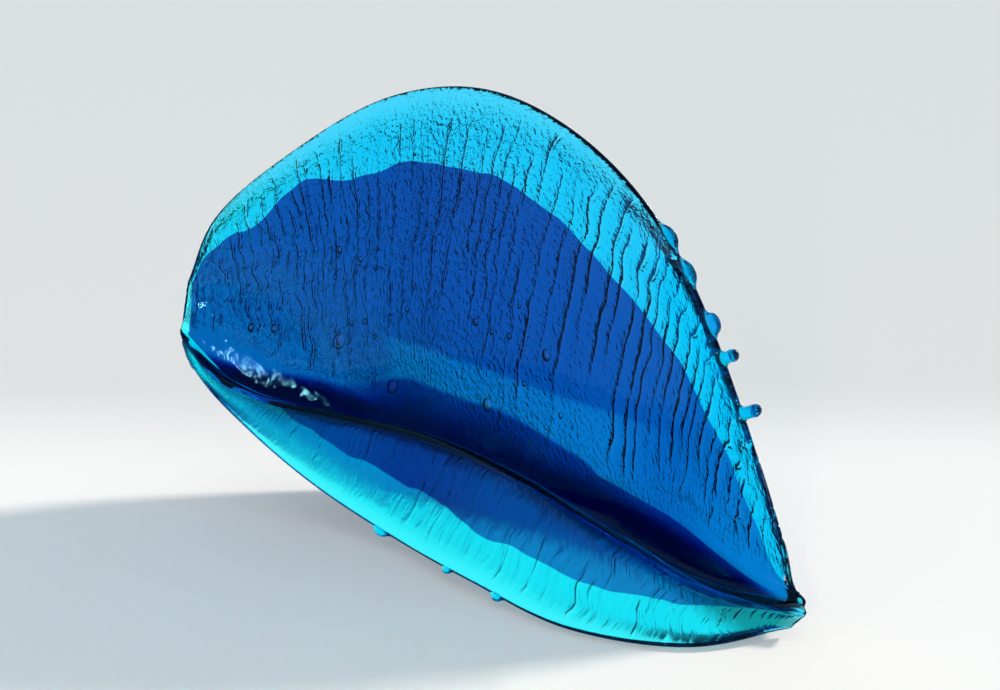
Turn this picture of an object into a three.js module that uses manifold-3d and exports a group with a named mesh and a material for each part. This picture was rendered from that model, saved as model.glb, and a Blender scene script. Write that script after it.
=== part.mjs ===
// A fish ornament of folded, fused glass, in millimetres with +Z up.
// A turquoise sheet stands in a deep fold: a hollow back flap, a trough, a crest and a sloping lip.
// A smaller cobalt sheet is fused on its inner face, and drops of glass along its rims.
// The origin is the middle of the flat ground on the keel. X runs from the raised tip to the low tip,
// and Y from the lip to the back flap.

import * as THREE from 'three';
import { mergeVertices } from 'three/addons/utils/BufferGeometryUtils.js';
import Module from 'manifold-3d';

// Driving sizes
const LENGTH = 480; // tip to tip, along X
const DEPTH = 146; // lip rim to back flap, along Y
const HEIGHT = 293; // ground to the top of the back flap
const RIM_GLASS = 6; // the turquoise sheet at its rims
const KEEL_GLASS = 8.5; // the same sheet along the keel, where it gathers as it slumps
const COBALT_GLASS = 2.5; // the cobalt sheet
const FUSE_GAP = 0.3; // clearance kept between pieces that are fused together
const TROUGH_RADIUS = 24; // inside of the trough, at its roundest
const BACK_BULGE = 12; // belly of the back flap, behind a straight line from trough to rim
const GRIND_DEPTH = 1.4; // glass ground off the keel to make the flat it stands on

// Guide curves of the inner face, from the raised tip to the low one.
// Each point is [x, y, z] in hundredths of LENGTH, DEPTH and HEIGHT, with the keel at the origin.
const BACK_RIM = [
  [-58.3, -32.9, 45.9], [-55, -24.7, 61], [-44.4, -9.6, 78],
  [-28.6, 0, 94], [-12.6, 1.4, 98.8], [2.3, 1.4, 91.6],
  [15.5, -1.4, 74.8], [28.6, -8.2, 40.4], [36.7, -13.4, 8.4],
];
const KEEL = [
  [-58.1, -39, 33.2], [-51.2, -30.1, 21.2], [-40.4, -17.1, 10.2],
  [-27.9, -4.8, 1.4], [-14.6, 0, 0], [-0.4, 0, 0],
  [13.3, -3.4, 0], [26.2, -11.6, 0.3], [39.8, -17, 4],
];
const CREST = [
  [-56.6, -43.8, 33.4], [-50.3, -46.4, 28.3], [-39.7, -44.3, 25.3],
  [-29.8, -33.6, 23.9], [-16.5, -26.9, 22.9], [-0.7, -28.2, 19.5],
  [13.7, -30.9, 13], [28.5, -33.5, 6.8], [40.9, -22.4, 5.7],
];
const LIP_RIM = [
  [-54.3, -48.6, 29.4], [-49, -52.5, 23.2], [-41.6, -53.2, 16],
  [-31.8, -51.4, 7.8], [-18.3, -54, 2], [-0.5, -68, 1],
  [16.8, -75.4, -0.4], [31.3, -58.7, -0.6], [39.6, -24.5, 0.4],
];

// Bare turquoise left round the cobalt sheet, in millimetres, at the same stations
const BACK_MARGIN = [4, 16, 24, 46, 61, 77, 78, 43, 10];
const LIP_MARGIN = [4, 13, 25, 28, 34, 28, 34, 31, 6];

// Drops and rod stubs fused on the rims: share of the rim's run, radius, and reach beyond the rim
const FIN_SPINES = [
  { at: 0.75, radius: 6, reach: 5 },
  { at: 0.777, radius: 6, reach: 5 },
  { at: 0.812, radius: 5, reach: 9 },
  { at: 0.834, radius: 3.6, reach: 15 },
  { at: 0.87, radius: 3.6, reach: 19 },
];
const RIM_BEADS = [
  { at: 0.594, radius: 3, reach: 3 },
  { at: 0.662, radius: 3.4, reach: 3 },
];
const RIM_KNOB = { at: 0.496, radius: 5, reach: 3 };

// Mesh density
const COLUMNS = 36; // ribs along the length
const ROWS = { backMargin: 3, backWall: 9, frontWall: 9, lip: 4, lipMargin: 3 };
const RIM_STEPS = 3; // facets round a rim
const COBALT_INSET = 2; // ribs at each tip that the cobalt sheet stops short of
const TIP_EASE = 0.09; // how far the ribs are drawn together towards the tips
const DROP_STEPS = { round: 10, cap: 4 }; // facets round a drop, and down each of its ends
const WALK_STEPS = 120; // chords used to measure along a rib
const NORMAL_STEP = 0.001; // share of a rib, or of the length, that a normal is measured over
const MERGE_DISTANCE = 0.0001; // corners closer than this are one

// Where the guides lie along a rib, as shares from the back rim to the lip rim
const KEEL_SHARE = 4 / 8;
const CREST_SHARE = 7 / 8;
const QUARTER = Math.PI / 2; // turn of the trough's side, from keel to upright
const BELLY_SHARE = 0.5; // where the back flap bulges most, from its rim to the trough
const FLAT_STEP = 0.4; // at the tips, the trough's sides lie this far along from the keel
const NORMAL_INSET = 0.03; // least share between a normal's own point and the edge
const MARGIN_ROOM = 0.02; // least share kept between the cobalt sheet's edge and the crest

const TURQUOISE = { color: 0x18b4dc, roughness: 0.08, metalness: 0 };
const COBALT = { color: 0x0a3c96, roughness: 0.05, metalness: 0 };
const ROD = { color: 0x0f78b8, roughness: 0.06, metalness: 0 };

const wasm = await Module();
wasm.setup();

// Guides

function guide(points, lift = 0) {
  const scaled = points.map(([x, y, z]) =>
    new THREE.Vector3((x * LENGTH) / 100, (y * DEPTH) / 100, (z * HEIGHT) / 100 + lift));
  return new THREE.CatmullRomCurve3(scaled);
}

// The outer face of the keel is what stands on the ground, so the inner face is a sheet higher.
const FLOOR_LIFT = KEEL_GLASS - GRIND_DEPTH;
const backRim = guide(BACK_RIM);
const keel = guide(KEEL, FLOOR_LIFT);
const crest = guide(CREST);
const lipRim = guide(LIP_RIM, RIM_GLASS);

function margin(values, u) {
  const run = new THREE.CatmullRomCurve3(values.map((value) => new THREE.Vector3(value, 0, 0)));
  return run.getPoint(u).x;
}

// The rib at u: a curve down the back flap, round the trough, over the crest and along the lip.
// The trough is fullest in the middle and opens out flat towards the tips.
function ribAt(u) {
  const fullness = Math.sin(Math.PI * u);
  const rim = backRim.getPoint(u);
  const bottom = keel.getPoint(u);
  const top = crest.getPoint(u);
  const radius = TROUGH_RADIUS * fullness;
  // A point on the trough's side, some way round from the keel towards the back rim or the crest
  const side = (end, way, angle) => bottom.clone()
    .lerp(end, FLAT_STEP * (1 - fullness) * (angle / QUARTER))
    .add(new THREE.Vector3(0, way * radius * Math.sin(angle), radius * (1 - Math.cos(angle))));
  const backSide = side(rim, 1, QUARTER);
  const bulge = new THREE.Vector3(0, BACK_BULGE * fullness, 0);
  const belly = rim.clone().lerp(backSide, BELLY_SHARE).add(bulge);
  return new THREE.CatmullRomCurve3([
    rim, belly, backSide, side(rim, 1, QUARTER / 2), bottom,
    side(top, -1, QUARTER / 2), side(top, -1, QUARTER), top, lipRim.getPoint(u),
  ]);
}

// Share of a rib that lies a given distance from its start, or from its end
function shareAt(rib, distance, fromEnd = false) {
  const share = (k) => (fromEnd ? 1 - k / WALK_STEPS : k / WALK_STEPS);
  let walked = 0;
  let last = rib.getPoint(share(0));
  for (let k = 1; k <= WALK_STEPS; k += 1) {
    const next = rib.getPoint(share(k));
    const stride = next.distanceTo(last);
    if (walked + stride >= distance) return share(k - 1 + (distance - walked) / stride);
    walked += stride;
    last = next;
  }
  return share(WALK_STEPS);
}

// The rows of a rib: two of them follow the cobalt sheet's edges, one the keel and one the crest.
const BANDS = [ROWS.backMargin, ROWS.backWall, ROWS.frontWall, ROWS.lip, ROWS.lipMargin];
const FIRST_COBALT_ROW = ROWS.backMargin;
const LAST_COBALT_ROW = ROWS.backMargin + ROWS.backWall + ROWS.frontWall + ROWS.lip;

function rowShares(rib, u) {
  const upper = shareAt(rib, margin(BACK_MARGIN, u));
  const lower = Math.max(shareAt(rib, margin(LIP_MARGIN, u), true), CREST_SHARE + MARGIN_ROOM);
  const marks = [0, upper, KEEL_SHARE, CREST_SHARE, lower, 1];
  const shares = [0];
  BANDS.forEach((count, band) => {
    for (let k = 1; k <= count; k += 1) {
      shares.push(THREE.MathUtils.lerp(marks[band], marks[band + 1], k / count));
    }
  });
  return shares;
}

// The inner face as a grid of points with normals, which face into the trough

function surfacePoint(u, v) {
  return ribAt(u).getPoint(v);
}

// Rim and rib run nearly in line at the tips, so normals are taken a little inside the edge.
function surfaceNormal(edgeU, edgeV) {
  const u = THREE.MathUtils.clamp(edgeU, NORMAL_INSET, 1 - NORMAL_INSET);
  const v = THREE.MathUtils.clamp(edgeV, NORMAL_INSET, 1 - NORMAL_INSET);
  const along = surfacePoint(u + NORMAL_STEP, v).sub(surfacePoint(u - NORMAL_STEP, v));
  const down = surfacePoint(u, v + NORMAL_STEP).sub(surfacePoint(u, v - NORMAL_STEP));
  return down.cross(along).normalize();
}

function glassAt(v) {
  return RIM_GLASS + (KEEL_GLASS - RIM_GLASS) * Math.sin(Math.PI * v) ** 2;
}

function sampleFace() {
  const grid = [];
  for (let i = 0; i <= COLUMNS; i += 1) {
    const even = i / COLUMNS;
    const u = even - TIP_EASE * Math.sin(2 * Math.PI * even);
    const shares = rowShares(ribAt(u), u);
    grid.push(shares.map((v) => ({
      point: surfacePoint(u, v), normal: surfaceNormal(u, v), glass: glassAt(v),
    })));
  }
  return grid;
}

// A closed sheet over a grid: its upper face lies `lift` above the grid, its lower face
// `thickness(sample)` below that, and a round rim joins the two.
function sheetGeometry(grid, lift, thickness) {
  const lastColumn = grid.length - 1;
  const lastRow = grid[0].length - 1;
  const positions = [];
  const indices = [];
  const put = (point) => positions.push(point.x, point.y, point.z) / 3 - 1;
  const offset = (sample, height) => sample.point.clone().addScaledVector(sample.normal, height);

  const upper = grid.map((rib) => rib.map((sample) => put(offset(sample, lift))));
  const lower = grid.map((rib) =>
    rib.map((sample) => put(offset(sample, lift - thickness(sample)))));
  for (let i = 0; i < lastColumn; i += 1) {
    for (let j = 0; j < lastRow; j += 1) {
      const [a, b, c, d] = [[i, j], [i, j + 1], [i + 1, j + 1], [i + 1, j]];
      const at = (face, [column, row]) => face[column][row];
      indices.push(at(upper, a), at(upper, b), at(upper, c), at(upper, a), at(upper, c), at(upper, d));
      indices.push(at(lower, a), at(lower, c), at(lower, b), at(lower, a), at(lower, d), at(lower, c));
    }
  }

  // The edge, in the order that keeps the sheet on the left as seen from above it
  const edge = [];
  for (let i = lastColumn; i > 0; i -= 1) edge.push([i, 0]);
  for (let j = 0; j < lastRow; j += 1) edge.push([0, j]);
  for (let i = 0; i < lastColumn; i += 1) edge.push([i, lastRow]);
  for (let j = lastRow; j > 0; j -= 1) edge.push([lastColumn, j]);
  const edgePoint = (n) => {
    const [i, j] = edge[(n + edge.length) % edge.length];
    return grid[i][j].point;
  };
  const rings = edge.map(([i, j], n) => {
    const sample = grid[i][j];
    const radius = thickness(sample) / 2;
    const middle = offset(sample, lift - radius);
    const out = edgePoint(n + 1).clone().sub(edgePoint(n - 1)).cross(sample.normal).normalize();
    const ring = [upper[i][j]];
    for (let k = 1; k < RIM_STEPS; k += 1) {
      const turn = (Math.PI * k) / RIM_STEPS;
      ring.push(put(middle.clone()
        .addScaledVector(sample.normal, radius * Math.cos(turn))
        .addScaledVector(out, radius * Math.sin(turn))));
    }
    return [...ring, lower[i][j]];
  });
  rings.forEach((ring, n) => {
    const next = rings[(n + 1) % rings.length];
    for (let k = 0; k < RIM_STEPS; k += 1) {
      indices.push(next[k], ring[k], ring[k + 1], next[k], ring[k + 1], next[k + 1]);
    }
  });

  const geometry = new THREE.BufferGeometry();
  geometry.setAttribute('position', new THREE.Float32BufferAttribute(positions, 3));
  geometry.setIndex(indices);
  return geometry;
}

// Solids for cutting

function solidOf(geometry) {
  const bare = new THREE.BufferGeometry();
  bare.setAttribute('position', geometry.getAttribute('position'));
  bare.setIndex(geometry.index);
  const merged = mergeVertices(bare, MERGE_DISTANCE);
  return new wasm.Manifold(new wasm.Mesh({
    numProp: 3,
    vertProperties: merged.getAttribute('position').array,
    triVerts: merged.index.array,
  }));
}

function geometryOf(solid) {
  const mesh = solid.getMesh();
  const geometry = new THREE.BufferGeometry();
  geometry.setAttribute('position', new THREE.Float32BufferAttribute(mesh.vertProperties, 3));
  geometry.setIndex(Array.from(mesh.triVerts));
  return geometry;
}

function makeMesh(name, geometry, look) {
  geometry.computeVertexNormals();
  const mesh = new THREE.Mesh(geometry, new THREE.MeshStandardMaterial(look));
  mesh.name = name;
  return mesh;
}

// Turquoise sheet, with its keel and the low point of its lip ground flat
function baseSheet(face) {
  const sheet = solidOf(sheetGeometry(face, 0, (sample) => sample.glass));
  const groundDepth = KEEL_GLASS * 2;
  const ground = new THREE.BoxGeometry(LENGTH * 2, DEPTH * 4, groundDepth);
  ground.translate(0, 0, -groundDepth / 2);
  return makeMesh('base_sheet', geometryOf(sheet.subtract(solidOf(ground))), TURQUOISE);
}

// Cobalt sheet, lying on the inner face
function overlaySheet(face) {
  const covered = face.slice(COBALT_INSET, -COBALT_INSET)
    .map((rib) => rib.slice(FIRST_COBALT_ROW, LAST_COBALT_ROW + 1));
  const geometry = sheetGeometry(covered, FUSE_GAP + COBALT_GLASS, () => COBALT_GLASS);
  return makeMesh('overlay_sheet', geometry, COBALT);
}

// The part of a direction that is square to a line, at unit length
function squareTo(direction, line) {
  const along = line.clone().normalize();
  return direction.clone().addScaledVector(along, -direction.dot(along)).normalize();
}

// A drop or rod stub, saddled on the back rim or the lip's
function rimDrop(name, face, rim, { at, radius, reach }) {
  const v = rim === backRim ? 0 : 1;
  const rib = ribAt(at);
  const upRib = rib.getTangent(v).multiplyScalar(v === 0 ? -1 : 1);
  const out = squareTo(upRib, rim.getTangent(at));
  const bite = Math.max(RIM_GLASS, 2 * radius - reach);
  const shaft = reach + bite - 2 * radius;
  const drop = new THREE.CapsuleGeometry(radius, shaft, DROP_STEPS.cap, DROP_STEPS.round);
  drop.applyQuaternion(
    new THREE.Quaternion().setFromUnitVectors(new THREE.Vector3(0, 1, 0), out));
  const centre = rib.getPoint(v)
    .addScaledVector(surfaceNormal(at, v), -RIM_GLASS / 2)
    .addScaledVector(out, RIM_GLASS / 2 + (reach - bite) / 2);
  drop.translate(centre.x, centre.y, centre.z);
  const room = sheetGeometry(face, FUSE_GAP, (sample) => sample.glass + 2 * FUSE_GAP);
  return makeMesh(name, geometryOf(solidOf(drop).subtract(solidOf(room))), ROD);
}

const ornament = new THREE.Group();
const innerFace = sampleFace();
ornament.add(baseSheet(innerFace));
ornament.add(overlaySheet(innerFace));
FIN_SPINES.forEach((spine, n) =>
  ornament.add(rimDrop(`fin_spine_${n + 1}`, innerFace, backRim, spine)));
RIM_BEADS.forEach((bead, n) => ornament.add(rimDrop(`rim_bead_${n + 1}`, innerFace, lipRim, bead)));
ornament.add(rimDrop('rim_knob', innerFace, lipRim, RIM_KNOB));

export default ornament;
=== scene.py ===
"""Looks of the folded glass fish ornament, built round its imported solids.

Sizes are in millimetres, in the part's own frame, and become metres when a mesh is made.
The sheet's shape repeats the part's guide curves. u runs from the raised tip to the low one,
and v from the back rim, down the back flap, round the trough, over the crest to the lip rim.
Both are shares from 0 to 1. A list of nine or 17 stations holds values at even steps of u.
A pair (start, end) is where something fades in or out.
"""

import math

import bpy
import numpy as np
from mathutils import Matrix, Vector


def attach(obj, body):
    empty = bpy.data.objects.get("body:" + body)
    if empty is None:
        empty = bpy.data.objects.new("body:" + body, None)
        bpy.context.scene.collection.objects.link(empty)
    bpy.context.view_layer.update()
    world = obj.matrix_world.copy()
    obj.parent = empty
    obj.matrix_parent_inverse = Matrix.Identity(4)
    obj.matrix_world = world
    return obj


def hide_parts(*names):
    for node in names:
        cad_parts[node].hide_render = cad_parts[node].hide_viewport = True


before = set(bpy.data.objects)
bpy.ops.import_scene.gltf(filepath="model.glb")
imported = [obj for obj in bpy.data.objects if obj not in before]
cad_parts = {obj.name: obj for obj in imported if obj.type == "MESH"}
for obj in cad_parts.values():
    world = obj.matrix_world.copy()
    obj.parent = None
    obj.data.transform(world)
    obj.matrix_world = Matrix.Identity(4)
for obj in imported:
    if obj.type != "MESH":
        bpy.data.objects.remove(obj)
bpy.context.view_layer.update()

MM = 0.001
QUARTER = math.pi / 2
LEAST_KNOT, TINY = 1e-3, 1e-9  # guards against division by zero
SEED = 7
WOBBLE_SEED, WANDER_SEED, BREAK_SEED, PUCKER_SEED, LUMP_SEED = 11, 13, 21, 35, 51

# The part's driving sizes, and its guide curves in hundredths of length, depth and height
LENGTH, DEPTH, HEIGHT = 480, 146, 293
RIM_GLASS = 6
KEEL_GLASS = 8.5
TROUGH_RADIUS = 24
BACK_BULGE = 12
GRIND_DEPTH = 1.4
BACK_RIM = [
    [-58.3, -32.9, 45.9], [-55, -24.7, 61], [-44.4, -9.6, 78],
    [-28.6, 0, 94], [-12.6, 1.4, 98.8], [2.3, 1.4, 91.6],
    [15.5, -1.4, 74.8], [28.6, -8.2, 40.4], [36.7, -13.4, 8.4],
]
KEEL = [
    [-58.1, -39, 33.2], [-51.2, -30.1, 21.2], [-40.4, -17.1, 10.2],
    [-27.9, -4.8, 1.4], [-14.6, 0, 0], [-0.4, 0, 0],
    [13.3, -3.4, 0], [26.2, -11.6, 0.3], [39.8, -17, 4],
]
CREST = [
    [-56.6, -43.8, 33.4], [-50.3, -46.4, 28.3], [-39.7, -44.3, 25.3],
    [-29.8, -33.6, 23.9], [-16.5, -26.9, 22.9], [-0.7, -28.2, 19.5],
    [13.7, -30.9, 13], [28.5, -33.5, 6.8], [40.9, -22.4, 5.7],
]
LIP_RIM = [
    [-54.3, -48.6, 29.4], [-49, -52.5, 23.2], [-41.6, -53.2, 16],
    [-31.8, -51.4, 7.8], [-18.3, -54, 2], [-0.5, -68, 1],
    [16.8, -75.4, -0.4], [31.3, -58.7, -0.6], [39.6, -24.5, 0.4],
]
# Drops and rod stubs on the rims: share of the rim's run, radius, and reach beyond the rim
FIN_SPINES = [(0.75, 8, 5), (0.777, 8, 5), (0.812, 7, 9), (0.834, 4, 15), (0.87, 4, 19)]
FIN_DROPS = 3  # the first spines are drops of denser turquoise, which paints their shade, the rest rod stubs
RIM_BEADS = [(0.594, 3.6, 1.6), (0.662, 4.2, 1.8)]
RIM_KNOB = (0.496, 6, 2.2)
CREST_SHARE = 7 / 8  # share of a rib at the crest
BELLY_SHARE = 0.5  # share of the back flap at which it bulges
FLAT_STEP = 0.4  # share of the way to the rim or crest that the trough opens out at the tips
NORMAL_INSET = 0.03
NORMAL_STEP = 0.001

# The sheet's edge and grid
EDGE_GLASS = 3.2  # fire-polished thin at the very edge
EDGE_RUN = 0.035  # share of a rib, or of the length, over which it thins
RIM_STEPS = 8  # faces round the edge
INNER_SKIP = 4  # the inner face has a column for every fourth one of the outer face
PLAIN_STEP = 3.2  # widest step between columns where there is no groove
# Bands down a rib: the shares at which each starts and ends, and its rows
ROW_BANDS = [(0, 0.012, 3), (0.012, 0.27, 66), (0.27, 0.45, 12), (0.45, 0.82, 10),
             (0.82, 0.985, 26), (0.985, 1, 3)]

# Chill wrinkles on the outer face
WRINKLE_GAP = (2.2, 7)  # least and most run between neighbouring grooves
WRINKLE_HALF = (0.9, 2)  # half a groove's width
WRINKLE_SLOPES = [0.7, 1, 1.25, 1.5]  # a groove's depth over its half width
WRINKLE_CHANCES = [0.2, 0.3, 0.3, 0.2]
WRINKLE_DEEPEST = 2.3
WRINKLE_MARGIN = 2  # bare run at each tip
SPACED_AT = 0.1  # share of the rib at which the gaps are measured
SPACED_STEPS = 2000
# At nine stations: how thickly the grooves lie, how wide they are, the shares of the rib at which they
# start and end on the back flap, and how far they have leaned along the sheet, in u, by FLAP_END
WRINKLE_CROWD = [1.5, 1.5, 1.3, 0.5, 0.42, 0.7, 0.8, 0.8, 1]
WRINKLE_SIZE = [1, 1.1, 1.15, 0.9, 0.95, 1.25, 1.45, 1.35, 0.9]
WRINKLE_START = [0, 0, 0, 0.02, 0.015, 0, 0, 0, 0]
WRINKLE_END = [0.26, 0.26, 0.2, 0.13, 0.12, 0.14, 0.16, 0.2, 0.2]
FLAP_LEAN = [0, -0.01, -0.018, -0.05, -0.1, -0.11, -0.075, -0.035, 0]
FLAP_END = 0.18
LEAN_POWER = 0.65  # below 1, so that most of the lean is near the rim
LEAN_FADE = (0.45, CREST_SHARE)
START_SPREAD = (-0.01, 0.035)  # how much earlier or later one groove starts than its neighbours
END_SPREAD = (0, 0.12)  # and how much later it ends
START_FADE, END_FADE = 0.02, 0.04
BREAKS = 40  # breaks in a groove, to a rib
BREAK_DEPTH = 0.9
FLAP_LEVEL, FLAP_MOST = 0.8, 1.2  # share of a groove's depth on the flap, without breaks and at most
LIP_LEVEL, LIP_MOST = 0.6, 1  # and on the lip
LIP_SLOPES = (0.2, 0.5)  # a groove's depth on the lip over its half width
LIP_START = (0.86, 0.9)
RIM_CLEAR = (0.002, 0.012), (0.98, 0.997)  # fades of the grooves at the two rims
TIP_CLEAR = 25  # steepness of their fade at the tips
WOBBLE = 0.004  # sideways wander that neighbouring grooves share, in u
WOBBLE_BUMPS = (18, 44)  # bumps of it along the length and down a rib
WOBBLE_CLEAR = (12, 60)  # steepness of its fade at the tips and at the rims
WANDER = 0.5  # sideways wander of one groove, as a share of the gap to the next
WANDER_BUMPS = [(1, 70), (0.5, 150)]  # share and bumps down a rib
WANDER_ROW, BREAK_ROW = 5.3, 3.7  # rows of noise between neighbours, so that no two grooves are alike

# Uneven faces: height, bumps along the length and down a rib, and seed of each layer
INNER_RIPPLES = [(0.12, 80, 9, 31), (0.2, 24, 12, 32)]
OUTER_SWELLS = [(0.35, 20, 28, 33), (0.15, 60, 40, 34)]
UNEVEN_CLEAR = (0, 0.03), (0.96, 1)  # fades at the two rims
# An uneven patch on the inner face, low on the left of the back wall
PUCKER = 0.18  # its height
PUCKER_ALONG = (0.03, 0.08), (0.2, 0.3)
PUCKER_DOWN = (0.2, 0.28), (0.42, 0.5)
PUCKER_BUMPS = (60, 20)  # along the length and down a rib
PUCKER_SLANT = 6  # bumps that they shift along by, down a rib
PUCKER_RELIEF, PUCKER_STREAKS = 0.04, 0.22

# Strength of the pebbled skin, the streaks and the frost on the outer face, at shares of the rib
RELIEF_ZONES = [(0, 0.4), (0.03, 1), (0.28, 1), (0.4, 0.06),
                (0.84, 0.06), (0.9, 0.15), (0.97, 0.15), (1, 0.1)]
STREAK_ZONES = [(0, 0.3), (0.03, 0.6), (0.28, 0.4), (0.4, 0),
                (0.84, 0), (0.9, 0.75), (0.97, 0.65), (1, 0)]
FROST_ZONES = [(0, 0), (0.84, 0), (0.88, 0.32), (0.98, 0.32), (1, 0)]
# and along the length, at nine stations. On the lip the streaks are the same all along.
RELIEF_ALONG = [0.6, 1, 1.2, 1.2, 1, 0.6, 0.45, 0.5, 0.5]
STREAKS_ALONG = [1, 1, 0.8, 0.15, 0.1, 0.4, 0.6, 0.6, 0.8]
FROST_ALONG = [2.2, 2.2, 2, 1.5, 1, 1, 1, 1, 1]
INNER_RELIEF = 0.04
DROP_RELIEF = 0.1

# Bubbles in the back flap: shares u and v, and half the width before BUBBLE_SCALE
BUBBLES = [
    (0.28, 0.115, 1.9), (0.305, 0.125, 1.5), (0.323, 0.132, 1.3), (0.27, 0.143, 1.2),
    (0.37, 0.143, 1.2), (0.36, 0.16, 1.3), (0.145, 0.243, 2), (0.18, 0.225, 2),
    (0.27, 0.205, 3.6), (0.288, 0.183, 1.3), (0.305, 0.178, 1.5), (0.318, 0.187, 1.2),
    (0.455, 0.158, 1.9), (0.478, 0.162, 1.4), (0.503, 0.162, 1.6), (0.557, 0.167, 2.8),
    (0.527, 0.188, 1.4), (0.562, 0.125, 1.2), (0.517, 0.142, 1.2), (0.583, 0.203, 1.4),
    (0.475, 0.208, 3.2), (0.34, 0.223, 3.2),
]
BUBBLE_SCALE = 1.25
BUBBLE_STRETCH = 1.35  # length down the rib over the width
BUBBLE_DEPTH = 3.4  # below the inner face
BUBBLE_FLATNESS = 1.9  # half a bubble's depth through the sheet, at most
BUBBLE_ROUND, BUBBLE_RINGS = 14, 8

# Shape of the drops and rod stubs
SADDLE_RADIUS = EDGE_GLASS / 2 + 0.12  # the rim's round, with a hair of air
DROP_ROUND, DROP_RINGS = 28, 20
DROP_DEPTH = 3.9  # half a drop's depth through the sheet, at most
DROP_CAP = 0.9  # share of a drop's height that its round end takes, at most
ROOT_FLARE = 0.55  # how much wider a drop is at its root
ROOT_HEIGHT = 4.5  # over which it narrows, at most
ROOT_SHARE = 0.6  # share of its height over which it narrows, at most
FOOT_SHARES = (0.25, 0.5, 0.75)  # rings of its underside
LUMPS = 0.05  # unevenness of its outline
LUMP_BUMPS = (1.3, 0.4)  # to a radian round it and to a millimetre of rise
LUMP_SHIFT = 90  # so that no two drops are alike
RIM_PROBE, EDGE_PROBE = 0.004, 0.01  # steps in u and v that find the rim's directions

# The cobalt sheet, sunk in the inner face: bare glass left round it, at 17 stations
COBALT_BACK = [4, 7, 16, 25, 23, 42, 46, 53, 61, 70, 77, 82, 78, 63, 43, 32, 10]
COBALT_FRONT = [4, 9, 13, 16, 25, 27, 28, 33, 34, 31, 28, 33, 34, 32, 31, 22, 6]
COBALT_WAVES = [(2.2, 26, 0, 41), (1.1, 55, 0, 42)]  # of its edges, listed as for the uneven faces
WAVE_CLEAR = 10  # steepness of their fade at the tips
COBALT_RUN = (0.012, 0.985)  # where it starts and ends, in u
COBALT_COLUMNS = 260
COBALT_COVER = 0.6  # clear glass over the cobalt
# Share of the rib at which it stops at the raised tip, and how much further it goes after TIP_RUN
TIP_STOP, TIP_GROWTH = 0.58, 0.4
TIP_RUN = (0.07, 0.2)
# Its thickness, at nine stations: on the back flap, and on the lip, where it is thicker near the middle
# as a painted shadow
COBALT_GLASS = [0.8, 0.8, 0.82, 0.84, 0.82, 0.76, 0.64, 0.42, 0.36]
LIP_COBALT_AND_SHADOW = [0.52, 0.52, 0.52, 0.6, 0.84, 0.55, 0.5, 0.5, 0.5]
LIP_BLEND = (0.6, CREST_SHARE)
THIN_GLASS = 0.06  # what is left of it where the sheet was drawn round the keel and up to the crest
THIN_FADE = (CREST_SHARE - 0.04, CREST_SHARE + 0.02)
# A second layer on the lower back wall, partly real cobalt with a crisp edge and partly painted shade
# that darkens the valley,
# at nine stations: cobalt with it, shares of the rib at which it begins and ends, and the share of it
# that starts at its edge
DOUBLE_GLASS_AND_SHADE = [4.5, 4.5, 4.2, 3.4, 2.8, 2.8, 3, 3.2, 3.2]
DOUBLE_EDGE = [0.5, 0.41, 0.27, 0.208, 0.21, 0.235, 0.32, 0.38, 0.48]
DOUBLE_END = [0.56, 0.52, 0.42, 0.3, 0.3, 0.4, 0.5, 0.53, 0.56]
DOUBLE_CRISP = [0, 0, 0, 0.25, 0.35, 0.35, 0.35, 0.35, 0.35]
DOUBLE_STEP = 0.0025  # half the width of its edge, as a share of the rib
DOUBLE_FADE = 0.04  # share of the rib over which it ends
DOUBLE_RUN = (0.05, 0.13), (0.9, 0.98)
# Above the second layer a band of thinner cobalt, a painted reflection that lightens it, from this share
# of the rib, at nine stations
REFLECTION_BAND_EDGE = [0.185, 0.185, 0.185, 0.182, 0.186, 0.191, 0.192, 0.19, 0.19]
REFLECTION_BAND_SHARE = 0.62  # of the thickness elsewhere
REFLECTION_BAND_FADE = (0.5, 0.6)
REFLECTION_BAND_RUN = (0.31, 0.36), (0.62, 0.8)
# Rows that follow an edge: least share of a rib from the sheet's own edge to the second layer,
# share by which one row stays short of the crest, and least share between any others
DOUBLE_INSET, CREST_INSET, EDGE_GAP = 0.03, 0.02, 0.01
COBALT_ROWS = (18, 4, 10, 4, 16, 14, 14)  # steps between them

# Glass: colour and density of each body, and its surface
TURQUOISE = (0.01, 0.944, 0.986), 720
# A denser copy of the turquoise, which paints shade on the drops, beads and knob
SHADED_TURQUOISE = (0.01, 0.92, 0.975), 1300
COBALT = (0.453, 0.05, 0.62), 2340
GLASS_IOR = 1.5
FILM_IOR = 1.0  # the cobalt lies inside the clear glass, so it bends no light
POLISH = 0.02  # roughness
SHEEN = (0.12, 0.5, 1, 1)  # colour of the glass's mirror images
SKIN_HEIGHT = 0.002  # of the full surface texture, in metres
# Noise of the surface texture: bumps to the metre across and along the wrinkles, and detail
PEBBLES = (340, 220), 2
STREAKS = (260, 40), 1

# View
VIEW_AZIMUTH = 36
VIEW_ELEVATION = 20
VIEW_DISTANCE = 1465
VIEW_TARGET = (-12.4, -53.6, 148)
LENS, SENSOR = 85, 36

# Floor and light. Two level directions: AWAY from the camera, and ACROSS from the lip to the back.
# A run of stops holds places along one of them and a level or colour at each, with its two ends first.
AWAY = (-0.588, 0.809, 0)
ACROSS = (0.422, 0.907, 0)
FLOOR_REACH = 4000  # from its middle to each side
FLOOR_DROP = 0.3  # below the part
FLOOR_COLOUR = (0.85, 0.85, 0.85, 1)
GLOW = (1, 0.96, 0.9, 1)
# Glow of the floor as the camera sees it, in metres along AWAY
FLOOR_SEEN = [(-0.7, 0), (0.6, 0.03), (-0.2, 0.22), (0.1, 0.22), (0.3, 0.03)]
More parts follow.
